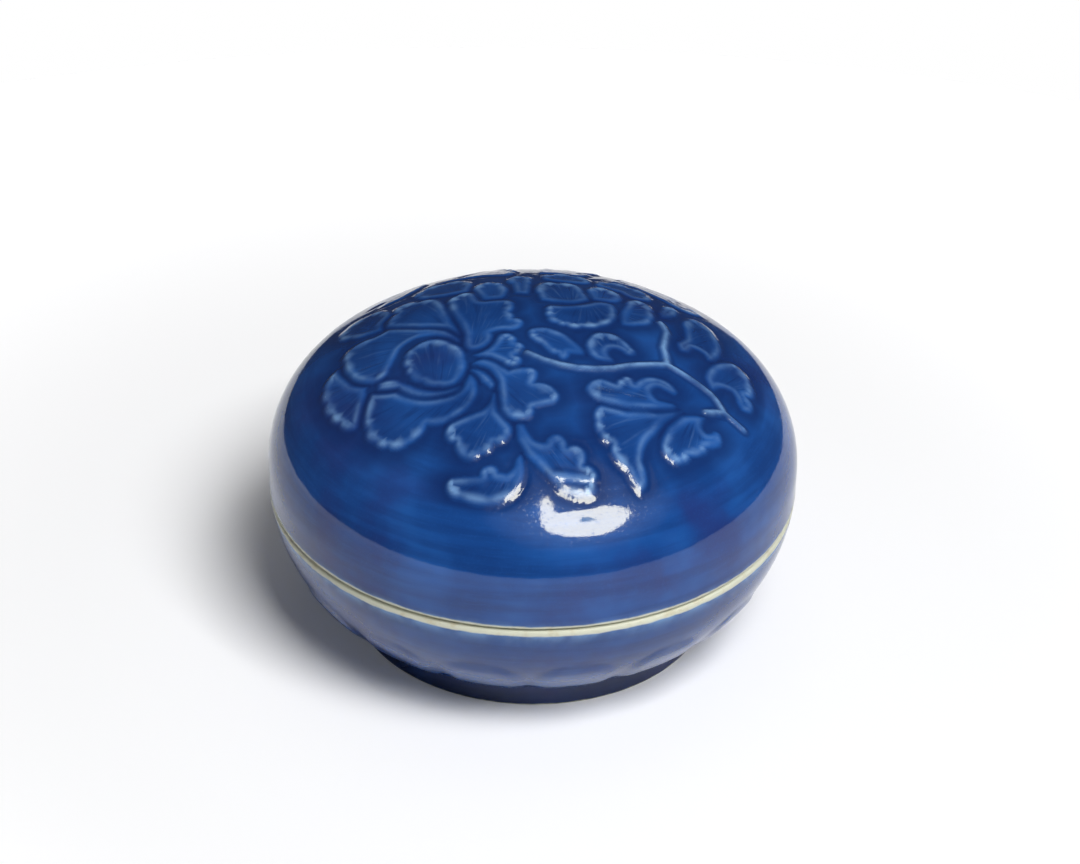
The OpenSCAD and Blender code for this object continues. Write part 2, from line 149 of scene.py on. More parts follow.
class Recipe(Nodes):
    """A glaze, clay or paste: a material with the nodes that feed its shader."""

    def __init__(self, name):
        self.material = bpy.data.materials.new(name)
        self.material.use_nodes = True
        super().__init__(self.material.node_tree)
        self.shader = self.tree.nodes["Principled BSDF"]
        self.place = self.node("TexCoord", "Object")

    def stretch(self, scale):
        return self.node("Mapping", Vector=self.place, Scale=scale)

    def cloud(self, scale, detail=2.0, place=None, roughness=0.5):
        """Noise, with its scale in cells to a metre."""
        return self.node("TexNoise", Vector=place or self.place, Scale=scale, Detail=detail,
                         Roughness=roughness)

    def read(self, name, out=2):
        return self.node("Attribute", out, {"attribute_name": name})

    def height(self):
        return self.node("SeparateXYZ", 2, Vector=self.place)

    def wavering_height(self, scale, by):
        """Height that wanders a little, as the edge of a wiped glaze does."""
        return self.maths("ADD", self.height(),
                        self.times(self.maths("SUBTRACT", self.cloud(scale), 0.5), by))

    def between(self, level, low, high, soft):
        """1 between two heights and 0 beyond, with soft edges."""
        return self.times(self.span(level, low - soft, low + soft),
                          self.span(level, high - soft, high + soft, 1.0, 0.0))

    def dent(self, height, depth, under=None):
        given = {"Normal": under} if under else {}
        return self.node("Bump", Height=height, Distance=depth, **given)

    def finish(self, colour, roughness, normal):
        self.feed(self.shader.inputs["Base Color"], colour)
        self.feed(self.shader.inputs["Roughness"], roughness)
        self.feed(self.shader.inputs["Normal"], normal)
        self.shader.inputs["IOR"].default_value = surface_ior
        return self.material


def blue_glaze(name, thick, lit, bare_from, bare_to, carved=False):
    """Cobalt glaze over porcelain, brushed on in bands, with a bare edge between two heights."""
    r = Recipe(name)
    wash = r.span(r.cloud(70.0, 3.0), 0.36, 0.66)
    bands = r.span(r.cloud(1.0, 3.0, r.stretch((42.0, 42.0, 620.0))), 0.34, 0.70)
    brushed = r.cloud(1.0, 3.0, r.stretch((150.0, 150.0, 2100.0)), 0.6)
    flow = r.blend(wash, thick, lit)
    flow = r.blend(r.times(bands, band_dark), flow, deep_blue)
    flow = r.blend(r.span(brushed, 0.50, 0.74, 0.0, brush_light), flow, lit)
    flow = r.blend(r.span(r.cloud(58.0, 4.0), 0.50, 0.74, 0.0, cloud_tint), flow, violet_blue)
    flow = r.blend(r.span(r.cloud(2600.0), 0.52, 0.74, 0.0, grain_light), flow, lit)
    gloss = r.span(r.cloud(900.0), 0.3, 0.7, gloss_low, gloss_high)
    rough = r.shade(r.span(r.cloud(2300.0), 0.56, 0.70, 0.0, 0.55), gloss, dull_gloss)
    ripple = r.dent(r.cloud(230.0), ripple_h)
    if carved:
        thin_and_sheen, pooled_and_shade, hollow = r.read("thin_glaze_and_sheen"), r.read("pooled_glaze_and_shade"), r.read("carved")
        strokes = r.cloud(1.0, 2.0, r.read("comb", 1), 0.6)
        rough = r.shade(r.maths("MINIMUM", thin_and_sheen, 1.0), rough, thin_gloss)
        # Dark where the glaze pools and where painted shade lies on the relief's ground.
        flow = r.blend(r.times(pooled_and_shade, pool_and_shade_dark), flow, deep_blue)
        flow = r.blend(r.times(hollow, hollow_dark), flow, deep_blue)
        flow = r.blend(r.times(r.span(strokes, 0.54, 0.76), r.times(hollow, comb_light)),
                       flow, thin_and_sheen_blue)
        flow = r.blend(r.times(r.span(strokes, 0.30, 0.46, 1.0, 0.0),
                               r.times(hollow, comb_dark)), flow, deep_blue)
        # Pale crests: thinned glaze and painted sheen, in patches along each edge.
        patchy_thin_and_sheen = r.times(thin_and_sheen, r.span(r.cloud(240.0, 3.0), 0.34, 0.64, 0.35, 1.15))
        flow = r.blend(patchy_thin_and_sheen, flow, thin_and_sheen_blue)
        ripple = r.dent(r.times(strokes, hollow), comb_h, ripple)
    peel = r.dent(r.cloud(1700.0), peel_h, ripple)
    bare = r.between(r.wavering_height(330.0, blue_edge_wander), bare_from, bare_to,
                     blue_edge_soft)
    clay = r.blend(r.span(r.cloud(520.0, 3.0), 0.50, 0.78, 0.0, 0.7), bare_clay, stained_clay)
    return r.finish(r.blend(bare, flow, clay), r.shade(bare, rough, clay_gloss), peel)


foot_wall = (arc((foot_in + foot_round, foot_round), foot_round, 180, 270, step=0.12)
             + arc((foot_low - foot_round, foot_round), foot_round, 270, 360, step=0.12)
             + line((foot_low, foot_straight_from), (foot_out, foot_h), step=0.4)
             + [(foot_out, foot_h)]
             + line((foot_out - foot_round, foot_h + foot_into_bowl),
                    (foot_in, foot_h + foot_into_bowl), step=0.7)
             + line((foot_in, foot_h), (foot_in, foot_straight_from), step=0.5))
foot_glaze = blue_glaze("foot_blue_glaze", night_blue, night_sheen, foot_bare_from, foot_bare_to)
fire("standing_foot", throw(foot_wall, ring_steps, ring=True), "bowl_body",
     ["foot_ring"], [foot_glaze])

# BOWL
# The lower half of the box, thrown in porcelain and moulded on the lower wall with a band of
# sixteen upright lotus petals. Blue glaze outside, clear glaze over white inside and below,
# and a bare cream bevel at the rim, where the glaze was wiped off before firing.
seam_z = 24.5
box_r = 43.0
belly_c, belly_r = (18.5, 26.133), 24.5
cavity_c, cavity_r = (20.1, 24.5), 17.5
cavity_rim_r = 37.6
floor_z = 7.0
rim_bevel_h, rim_bevel_w = 0.9, 0.7
petal_count, petal_gap = 16, 1.2
petal_side_top, petal_tip = 11.5, 4.5
petal_rise, petal_roll = 0.34, 3.2
petal_band_top = 22
glaze_pool, cleft_pool, cleft_out = 0.28, 0.22, 0.6
rim_thin, rim_run_h, foot_thin = 0.72, 0.95, 0.50
round_steps = 512
bowl_middle = Vector((0, 0, 0.032))
foot_hollow_top = 0.00455
bowl_bare_from, bowl_bare_to = 0.02348, 0.030
cobalt = (0.0052, 0.0545, 0.240)
light_cobalt = (0.0125, 0.0910, 0.350)
white_glaze_tone = (0.78, 0.80, 0.77)
green_white = (0.70, 0.75, 0.70)
clear_edge_soft, clear_edge_wander = 0.0002, 0.0009


def clear_glaze(name, bare_from, bare_to):
    """Clear glaze over white porcelain, with a bare stretch between two heights."""
    r = Recipe(name)
    tint = r.blend(r.span(r.cloud(60.0, 3.0), 0.35, 0.7), white_glaze_tone, green_white)
    specks = r.span(r.cloud(1500.0, 1.0), 0.735, 0.76)
    tint = r.blend(r.times(specks, 0.55), tint, stained_clay)
    bare = r.between(r.wavering_height(260.0, clear_edge_wander), bare_from, bare_to,
                     clear_edge_soft)
    clay = r.blend(r.span(r.cloud(420.0, 3.0), 0.50, 0.80, 0.0, 0.6), bare_clay, stained_clay)
    turning = r.cloud(1.0, 2.0, r.stretch((60.0, 60.0, 1500.0)))
    relief = r.dent(turning, 0.00002, r.dent(r.cloud(240.0), 0.00003))
    rough = r.span(r.cloud(700.0), 0.3, 0.7, 0.08, 0.16)
    return r.finish(r.blend(bare, tint, clay), r.shade(bare, rough, 0.6), relief)


def places(mesh):
    """Where a mesh's vertices are, one row for each."""
    co = np.empty(len(mesh.vertices) * 3)
    mesh.vertices.foreach_get("co", co)
    return co.reshape(-1, 3)


def layer(mesh, name, values, kind="FLOAT"):
    """Stores a value or a vector for each point, for the glaze to read."""
    attribute = mesh.attributes.new(name, kind, "POINT")
    attribute.data.foreach_set("value" if kind == "FLOAT" else "vector",
                               np.asarray(values, np.float32).ravel())


def smooth(value):
    """An even rise from 0 to 1 that starts and ends softly."""
    value = np.clip(value, 0, 1)
    return value * value * (3 - 2 * value)


def bell(value, middle, width):
    """A soft hump of height 1."""
    return np.exp(-((value - middle) / width) ** 2)


def belly_at(z):
    """Radius of the bowl's outer wall at a height."""
    return belly_c[0] + np.sqrt(belly_r ** 2 - (belly_c[1] - z) ** 2)


def petal_depth(turn, z):
    """How far inside its petal's outline a point of the wall lies, in millimetres."""
    pitch = math.tau / petal_count
    side = np.abs((turn % pitch) - pitch / 2)
    low = np.minimum(z, petal_side_top)
    half = (math.tau * belly_at(low) / petal_count - petal_gap) / 2
    lift = np.clip((z - petal_side_top) / petal_tip, 0, 1)
    half = half * np.sqrt(1 - lift ** 2)
    depth = half - side * belly_at(z)
    return np.minimum(depth, (petal_side_top + petal_tip - z) * 1.1)


foot_angle = math.degrees(math.asin((foot_h - belly_c[1]) / belly_r))
rim_angle = math.degrees(math.asin((seam_z - rim_bevel_h - belly_c[1]) / belly_r))
bowl_wall = (line((0, foot_h), (foot_out - 0.2, foot_h), step=2.5)
             + arc(belly_c, belly_r, foot_angle, rim_angle, step=0.55)
             + [(box_r - 0.22, seam_z - 0.42), (box_r - 0.48, seam_z - 0.1),
                (box_r - rim_bevel_w - 0.15, seam_z)]
             + line((box_r - 1.2, seam_z), (cavity_rim_r, seam_z), step=0.8)
             + arc(cavity_c, cavity_r, 0, -90, step=1.3)
             + line((cavity_c[0] - 1.5, floor_z), (0, floor_z), step=2.5)
             + [(0, floor_z)])
bowl_bm = throw(bowl_wall, round_steps)
for face in bowl_bm.faces:
    middle = face.calc_center_median()
    inward = face.normal.dot(middle - bowl_middle) < 0
    under = middle.z < foot_hollow_top and math.hypot(middle.x, middle.y) < foot_in * MM
    face.material_index = int(inward or under)
bowl_glaze = blue_glaze("bowl_blue_glaze", cobalt, light_cobalt, bowl_bare_from, bowl_bare_to,
                        carved=True)
bowl_white = clear_glaze("bowl_white_glaze", 0.0225, 0.031)
bowl = fire("bowl_shell", bowl_bm, "bowl_body", ["bowl", "bowl_petals"],
            [bowl_glaze, bowl_white])

co = places(bowl.data)
radius = np.hypot(co[:, 0], co[:, 1]) / MM
height = co[:, 2] / MM
belly = belly_at(np.clip(height, foot_h, seam_z))
petal_wall = (radius > belly - 0.02) & (height < petal_band_top)
depth = petal_depth(np.arctan2(co[:, 0], -co[:, 1]), height)
fade = smooth((height - 4.8) / 2.2)
swell = np.where(petal_wall, petal_rise * smooth((depth + cleft_out) / petal_roll) * fade, 0)
out = np.stack([co[:, 0], co[:, 1], co[:, 2] - belly_c[1] * MM], 1)
out[:, :2] *= ((radius - belly_c[0]) / np.maximum(radius, 1))[:, None]
out /= np.maximum(np.linalg.norm(out, axis=1), 1e-9)[:, None]
co += out * (swell * MM)[:, None]
bowl.data.vertices.foreach_set("co", co.ravel())
below_rim = np.clip((seam_z - 1.0 - height) / rim_run_h, 0, 9)
rim_run = rim_thin * np.exp(-below_rim ** 1.2)
foot_run = foot_thin * bell(height, foot_h, 0.95) + 0.10 * bell(height, 7, 2.5)
clefts = np.where(petal_wall, cleft_pool * fade * bell(depth, -cleft_out, 0.9), 0)
outside = radius > belly - 0.6
layer(bowl.data, "thin_glaze_and_sheen", np.where(outside, np.maximum(rim_run, foot_run), 0))
layer(bowl.data, "pooled_glaze_and_shade", np.where(outside, glaze_pool + clefts, 0))
layer(bowl.data, "carved", radius * 0)
layer(bowl.data, "comb", np.stack([np.arctan2(co[:, 0], -co[:, 1]) * 40, height * 0.12,
                                   radius * 0], 1), "FLOAT_VECTOR")
bowl.data.update()

# GALLERY
# The upright ring inside the rim that the lid drops over. It is bare porcelain, turned smooth,
# with a rounded top, and stained a little where the two halves have rubbed together.
gallery_r, gallery_t, gallery_h = 39.8, 2.2, 4.4
gallery_in = gallery_r - gallery_t
gallery_low = seam_z - 0.1
gallery_top = seam_z + gallery_h
round_r = gallery_t / 2
round_z = gallery_top - round_r
turned_clay = (0.80, 0.785, 0.70)
rubbed_clay = (0.50, 0.43, 0.33)


def bisque(name):
    """Bare porcelain with turning lines, rubbed darker towards its top."""
    r = Recipe(name)
    streaks = r.cloud(1.0, 3.0, r.stretch((90.0, 90.0, 520.0)))
    tint = r.blend(r.span(streaks, 0.40, 0.72, 0.0, 0.55), turned_clay, stained_clay)
    rub = r.span(r.height(), (gallery_top - 1.0) * MM, gallery_top * MM, 0.0, 0.35)
    tint = r.blend(r.times(rub, r.span(r.cloud(300.0, 3.0), 0.4, 0.65)), tint, rubbed_clay)
    grit = r.cloud(3200.0)
    lines = r.cloud(1.0, 2.0, r.stretch((25.0, 25.0, 2600.0)))
    return r.finish(tint, r.span(grit, 0.3, 0.7, 0.5, 0.66),
                    r.dent(lines, 0.000025, r.dent(grit, 0.00001)))


gallery_wall = (line((gallery_in, gallery_low), (gallery_r, gallery_low), step=0.8)
                + line((gallery_r, gallery_low), (gallery_r, round_z), step=0.5)
                + arc((gallery_r - round_r, round_z), round_r, 0, 180, step=0.28)
                + line((gallery_in, round_z - 0.4), (gallery_in, gallery_low), step=0.5))
fire("gallery_collar", throw(gallery_wall, ring_steps, ring=True), "bowl_body",
     ["gallery_ring"], [bisque("gallery_bisque")])

# SEAL PASTE
# A pad of vermilion cinnabar ground with castor oil and mugwort floss. It is packed into the
# bowl by hand, domed with a spatula, and its face keeps soft folds and an oily shine.
paste_edge_z, paste_rise, paste_gap = 17.0, 1.6, 0.3
pad_r = cavity_r - paste_gap
edge_angle = math.degrees(math.asin((paste_edge_z - cavity_c[1]) / pad_r))
paste_edge_r = cavity_c[0] + pad_r * math.cos(math.radians(edge_angle))
mound_r = (paste_edge_r ** 2 + paste_rise ** 2) / (2 * paste_rise)
mound_z = paste_edge_z + paste_rise - mound_r
mound_angle = math.degrees(math.acos(paste_edge_r / mound_r))
paste_steps = 224
lump_h, swirl_h, fold_h, press_h = 0.38, 0.16, 0.22, 0.5
press_x, press_y, press_spread = 6, -7, 90
dark_pigment = (0.42, 0.018, 0.010)
bright_pigment = (0.78, 0.065, 0.028)
dry_pigment = (0.60, 0.030, 0.016)


def cinnabar(name):
    """Vermilion pigment in oil, with the floss showing as drawn-out folds."""
    r = Recipe(name)
    floss = r.node("TexNoise", Vector=r.stretch((520.0, 900.0, 700.0)), Scale=1.0, Detail=5.0,
                   Roughness=0.65, Distortion=1.6)
    pigment = r.blend(r.span(floss, 0.34, 0.68), dark_pigment, bright_pigment)
    pigment = r.blend(r.span(r.cloud(75.0, 3.0), 0.45, 0.75, 0.0, 0.6), pigment, dry_pigment)
    oil = r.span(r.cloud(210.0, 3.0), 0.42, 0.62, 0.50, 0.24)
    return r.finish(pigment, oil, r.dent(floss, 0.00016))


paste_wall = ([(0, floor_z)]
              + line((4, floor_z), (cavity_c[0] - paste_gap, floor_z), step=4)
              + arc(cavity_c, pad_r, -90, edge_angle, step=1.2)
              + arc((0, mound_z), mound_r, mound_angle, 90, step=0.42)[1:])
paste = fire("paste_pad", throw(paste_wall, paste_steps), "bowl_body",
             ["seal_paste"], [cinnabar("vermilion_paste")])
co = places(paste.data)
radius = np.hypot(co[:, 0], co[:, 1]) / MM
top = smooth((co[:, 2] / MM - paste_edge_z + 0.4) / 0.5) * smooth((paste_edge_r - radius) / 3.5)
turn = np.arctan2(co[:, 1], co[:, 0])
lumps = np.array([noise.fractal(Vector(p) * 95, 0.6, 2.1, 4) for p in co])
folds = np.array([noise.noise(Vector((p[0] * 260 + 3, p[1] * 120, 0.4))) for p in co])
swirl = np.sin(radius * 0.95 - turn * 2 + 1.8 * lumps)
press = np.exp(-((co[:, 0] / MM - press_x) ** 2 + (co[:, 1] / MM - press_y) ** 2) / press_spread)
lift = (lump_h * lumps + swirl_h * swirl * smooth(radius / 9) - fold_h * np.abs(folds)
        - press_h * press)
co[:, 2] += top * lift * MM
paste.data.vertices.foreach_set("co", co.ravel())
paste.data.update()

# LID
# The domed upper half, moulded in one piece of porcelain with a scroll of two peonies and
# their leaves in low relief. Each petal and leaf has a rolled edge and a combed hollow face.
# The blue glaze thins to pale blue over the rolled edges, where painted sheen is added, and pools
# dark beside them and on the ground, where painted shade is added.
skirt_top = 29.0
shoulder_c, shoulder_r = (26.5, 29.0), 16.5
crown_r, crown_z = 62.0, -7.987
blend_angle = 54.38
blend_r = crown_r * math.cos(math.radians(blend_angle))
field_r = 38.0
lid_wall = 2.6
lid_in_r = box_r - lid_wall
plan_scale = 0.997
crest_in, crest_out = 0.62, 0.42
crest_h, crest_root, crest_tip, crest_lobe = 0.25, 0.62, 0.22, 0.30
dish_h, dish_swell, ridge_share = 0.13, 0.05, 0.8
groove_h, groove_out, groove_w = 0.05, 0.7, 0.45
thin_and_sheen_root, thin_and_sheen_tip, thin_and_sheen_lobe = 0.16, 0.20, 0.46
pool_share, pool_out, pool_w = 0.55, 0.55, 0.45
# The ground near the motifs is darkened by pooling and painted shade, with this strength and
# width.
ground_pool_and_shade, ground_w = 0.82, 3.0
motif_reach, stem_reach = 4.5, 1.8
stem_half, stem_h, stem_thin_and_sheen, stem_thin_and_sheen_w = 0.95, 0.33, 0.85, 0.42
stem_pool, stem_pool_out, stem_groove_out, stem_beside_w = 0.7, 0.15, 0.3, 0.4
grid_cells = 256
snap, least_corner = 0.13, 0.004
wave_h = 0.05
lid_middle = Vector((0, 0, 0.010))
lid_bare_from, lid_bare_to = 0.020, 0.02544
skirt_thin, skirt_pool = 0.65, 0.34

# Outlines in millimetres on the lid's plan, x to the right and y away from the viewer. The
# third number bows the stretch to the next point: 0 is straight and 1 is a half circle.
boss = [[-19.5, -3.8, .35], [-20.5, -6, .4], [-20, -8.5, .4], [-19.5, -10.5, .3],
        [-17.5, -12.7, .25], [-15, -14.3, .25], [-12.5, -14.5, .3], [-11, -9, .25],
        [-13.3, -4.6, .2], [-16.5, -2.5, .2]]
cup_petal = [[-24.5, -10, 0], [-24.5, -11.5, .1], [-21.3, -12.5, .1], [-19.7, -14.5, .15],
             [-16, -16.3, .1], [-12, -15.9, 0], [-11.6, -15.2, -.05], [-14, -15.6, -.1],
             [-17, -14.7, -.1], [-19.5, -12.8, -.1], [-21.5, -10.8, .2]]
low_left_petal = [[-25.5, -12, .1], [-26.5, -17, .2], [-26, -19, .4], [-24.5, -22, .4],
                  [-22.5, -23.5, .4], [-19, -24, .3], [-16.5, -21.5, .25], [-13, -21.5, .1],
                  [-10, -19.5, .25], [-9, -15.5, .2], [-10, -13, 0], [-11, -15.5, -.3],
                  [-14.5, -17, -.15], [-18.5, -16, -.1], [-21.5, -13.5, -.1]]
left_petal = [[-12, -4.5, .1], [-14.5, -.5, .05], [-18.5, 1.5, 0], [-23.5, 4.5, -.1],
              [-26, 3.5, .25], [-30, 2.5, .3], [-30.5, -1, .15], [-29.5, -5, .1],
              [-28.5, -7, .1], [-25.5, -9.5, .5], [-23, -7.5, 0], [-21.5, -3, -.2],
              [-18.5, -1, -.15], [-15, -1.9, -.1]]
far_left_petal = [[-31.5, -2, .3], [-33.5, -6, .3], [-33, -9.5, .3], [-32, -13, .3],
                  [-30.5, -15.5, .35], [-28, -18, .2], [-27.5, -17.5, 0], [-27, -14, 0],
                  [-26.5, -11.5, -.1], [-26.5, -10, -.1], [-29, -8, 0], [-30.3, -5.5, -.1]]
up_left_petal = [[-12, -2.5, 0], [-13.5, 2, .05], [-14.5, 6.5, .1], [-16, 11.5, .3],
                 [-19, 12.5, .4], [-22.5, 13, .5], [-22.5, 10, .2], [-24, 7, .2],
                 [-23.5, 5.2, 0], [-18.5, 2.2, -.05], [-14, 0, -.1]]
rear_left_petal = [[-24.8, 5.5, 0], [-24.8, 8, 0], [-23.6, 10.5, .2], [-24.5, 13.5, .4],
                   [-27.5, 14.5, .35], [-31, 12.5, .35], [-32, 9.5, .4], [-30, 7, .3],
                   [-27, 5.5, .2]]
tall_petal = [[-10, -7, .3], [-7.5, -6, .3], [-7, -3, -.2], [-4.5, -2.5, .5], [-2, -1, .5],
              [-3.5, 1, .2], [-4, 3, .2], [-3.5, 5.5, .4], [-5, 7.5, 0], [-8, 7.5, -.3],
              [-9.5, 9, 0], [-10, 11.5, .5], [-13, 11.5, .4], [-14, 8.5, .1], [-13.5, 5, 0],
              [-12, 1, 0], [-11, -3, .05], [-11, -5.5, .3]]
crown_petal = [[-8.5, 8.5, 0], [-5.5, 8.5, .2], [-4.8, 10.5, .2], [-5.3, 14.5, .4],
               [-6.8, 16, .5], [-9, 16, .4], [-10, 13, 0], [-9.2, 10.5, 0]]
rear_petal = [[-11, 13, 0], [-10.5, 16, .3], [-11.5, 19, .5], [-15, 20, .5],
              [-19, 18.5, .5], [-19.5, 15.5, .3], [-17.5, 13.5, 0], [-15, 12.8, 0]]
edge_petal = [[-9.5, -8.5, .1], [-7, -9.3, 0], [-5, -10.8, .2], [-4, -11.8, .4],
              [-2.2, -11.3, .5], [-3, -9.3, .3], [-1.8, -8, .5], [-3, -6, .3],
              [-3.5, -4.2, .4], [-5.5, -3.8, .1], [-6.2, -5.5, -.1], [-7.2, -7.3, -.1]]
low_petal = [[-6.2, -17.5, -.2], [-8, -20.5, 0], [-12.5, -22, .4], [-13.5, -24.5, .3],
             [-12, -25.5, .3], [-10.5, -28.5, .4], [-8, -28, .4], [-6, -26.5, .4],
             [-3.8, -25.5, .3], [-3.5, -23.8, 0], [-5.7, -20.8, 0]]
hand_petal = [[-9.5, -10.5, -.1], [-7, -12, -.1], [-5.5, -15, 0], [-5, -20.5, .1],
              [-4, -22, .2], [-1, -22.5, .4], [0, -20.5, 0], [3, -19.5, .5], [3.5, -17, .3],
              [0, -15.5, .1], [.5, -13.5, .5], [-1.5, -12.3, .2], [-4, -12.8, 0],
              [-6, -11, .1], [-8, -9.8, .2]]
sliver_petal = [[-9.8, -12, -.1], [-8, -14.8, -.1], [-6.8, -16.2, .4], [-6.3, -15.2, .1],
                [-8, -12.8, .2]]
back_low_petal = [[2, 1.5, .5], [3.5, -.5, .4], [5, -1, .5], [7.5, -1, .3], [10.5, 0, .2],
                  [12.5, 2.5, .2], [13, 5.5, .1], [12.5, 8.5, .3], [9.5, 8.3, -.1],
                  [6.5, 6.2, -.15], [2.5, 5.5, .4], [1.8, 3.5, .3]]
back_mid_petal = [[1, 7.5, .1], [6, 7, .1], [8.5, 9, .2], [7.8, 12, .1], [7, 15, .35],
                  [3.5, 15.5, .35], [.8, 15, .3], [.5, 10, .1]]
back_side_petal = [[9.3, 9.5, .1], [13, 10, .2], [14, 12.5, .3], [12, 15.5, .4],
                   [9, 15, .3], [8.6, 12.5, .1]]
back_right_petal = [[14, 2, .2], [16.5, 3, .3], [18.8, 6, .2], [19, 9.5, .3],
                    [18.3, 12.5, .4], [15.5, 12.5, .2], [14.8, 10, 0], [13.8, 5.5, .1]]
back_top_petal = [[2, 17.3, .1], [8, 17, .3], [9, 19, .4], [6, 21.5, .5], [2.5, 21, .5],
                  [1, 19, .3]]
back_left_petal = [[-3.3, 10.5, 0], [-1.3, 10, .1], [-1, 14.5, .1], [-.8, 17, .5],
                   [-2, 19.3, .5], [-4.3, 18.5, .4], [-3.8, 15, 0]]
back_rear_petal = [[10.3, 17, .1], [14, 15.8, .2], [16, 13.8, .1], [18, 14.3, .5],
                   [18.5, 17.5, .5], [15.5, 20, .5], [11.5, 20.3, .5], [10, 18.8, .3]]
curl_leaf = [[8, -16, .3], [10.5, -18, .1], [16, -18, .05], [21.8, -15.8, .4],
             [21.8, -14.9, 0], [19.5, -15.2, -.35], [18.3, -13.5, -.3], [19.8, -12.2, 0],
             [21.8, -12.8, .5], [22.2, -11.5, .3], [19.5, -10.2, .2], [16.8, -11.5, .1],
             [15.7, -13, 0], [15.3, -12, .6], [13.7, -12.5, .3], [12.8, -13.9, 0],
             [10.5, -13.4, .3]]
fan_leaf = [[23, -15.9, 0], [19, -17.8, .05], [14.5, -19, 0], [10.5, -18.8, .4],
            [9.5, -21.8, .3], [10, -24, .4], [12, -25.3, .2], [12.2, -27, .2],
            [14.5, -29, .1], [16.5, -31.8, .2], [17.5, -30, .1], [16.8, -27, -.05],
            [17.2, -24.5, -.1], [18.8, -21.8, 0], [20.3, -19, 0]]
hook_leaf = [[23.2, -16.7, 0], [21.2, -19.5, .05], [19.8, -23, .3], [20.8, -25.3, .4],
             [23.3, -25, .3], [24.3, -23.5, .2], [26.3, -22.2, .3], [27, -20.8, .1],
             [29, -19.3, .3], [29, -17, .4], [28.2, -17.3, -.2], [27, -18.2, -.4],
             [26.3, -16.5, -.1], [26.8, -15.2, 0], [25.3, -15.6, 0]]
wing_leaf = [[-2.5, -23.5, 0], [-2.3, -26, 0], [-1, -28.3, .05], [2.8, -32, .1],
             [6, -32.2, .1], [9.3, -32, .5], [9.5, -30, .3], [7.8, -29.5, .2],
             [8, -27.5, .5], [5.2, -27, .2], [4.8, -25.7, .5], [2.5, -25.5, .2],
             [2, -26.5, -.2], [0, -26, -.1], [-1.5, -23.5, .3]]
tuck_leaf = [[2.6, -31.4, .1], [4.3, -33.6, .2], [7.8, -34.1, .35], [9.7, -32.9, .3],
             [9, -31.2, 0], [5, -31, 0]]
moon_leaf = [[-13.3, -32, .35], [-11, -34.2, .15], [-6.5, -35.5, .2], [-2.5, -34, .2],
             [-1.4, -30.5, .1], [-1.9, -28.6, .3], [-2.6, -30, -.2], [-4, -31.3, 0],
             [-5.2, -31, .5], [-7.3, -30, .4], [-8, -31.4, 0], [-12, -31, .4]]
small_leaf = [[-1, -3.8, .2], [-.5, -5.2, .1], [1, -6.5, 0], [2, -8, .3], [3.6, -8.8, .2],
              [4.5, -10, .3], [5.5, -8.3, 0], [7.5, -8.3, .3], [7.5, -7, 0], [5, -3.8, .1],
              [2, -2, .1], [-.3, -2.2, .4]]
snail_leaf = [[8.3, -7, .2], [9.8, -9, .1], [12.3, -9, 0], [12.2, -8.2, -.3],
              [11.6, -6.5, -.35], [13, -5.5, -.2], [14.2, -6.2, .5], [15.7, -6, .4],
              [15.3, -4.3, .1], [14, -2.7, .3], [11, -1.7, .3], [8.7, -3.5, .2]]
bell_leaf = [[23.3, -.8, .3], [24.6, -.3, 0], [25.3, 1.3, -.3], [27.2, 1, 0],
             [27.8, -.3, .3], [29, .8, .1], [30.2, 5, .1], [29.3, 10.5, .2], [27, 13.5, .4],
             [24.8, 12, .2], [24.2, 7.5, 0], [24.3, 4, -.1], [23, 1.5, .2]]
outer_leaf = [[28.2, -8.2, 0], [29.3, -6.8, -.2], [31.5, -6, -.2], [32.3, -8, 0],
              [33, -9.3, .4], [34.7, -8, .3], [34, -5.3, .2], [35, -4.5, .2],
              [34.8, -1, .3], [33, 2, .4], [31.3, 2, .1], [28.5, -1.5, .1],
              [27.2, -5.5, .1]]
bud_leaf = [[20.5, 8.8, .1], [22, 10, .1], [23.4, 13.5, .4], [22.3, 15.3, .4],
            [20.8, 13, 0], [20.2, 10.5, 0]]
rear_wing_leaf = [[.5, 22.5, 0], [3.5, 23, .1], [6.5, 22.3, .3], [9, 24.3, .3],
                  [8.2, 26.3, .2], [10.5, 27.5, .5], [9.5, 30, .2], [10.3, 32.5, .4],
                  [7.5, 33.5, .3], [5.5, 32.3, .2], [3.5, 34.2, .5], [1, 32.5, .1],
                  [1.5, 29, -.1], [.5, 26, 0]]
rear_curl_leaf = [[12, 22.3, .1], [16.5, 21.5, .05], [21, 18.3, .1], [24, 16.2, .3],
                  [27, 17, .4], [27.3, 19.5, .3], [25.5, 20.3, .2], [24.5, 19, -.3],
                  [23, 19.8, -.2], [24, 22.3, .3], [22, 25, .4], [19.5, 25.8, .2],
                  [18.5, 28.3, .4], [15.5, 29, .4], [13.5, 27, .2], [14, 25, -.1]]


def turned(outline, angle):
    """An outline turned about the middle of the lid."""
    c, s = math.cos(math.radians(angle)), math.sin(math.radians(angle))
    return [[x * c - y * s, x * s + y * c, swell] for x, y, swell in outline]


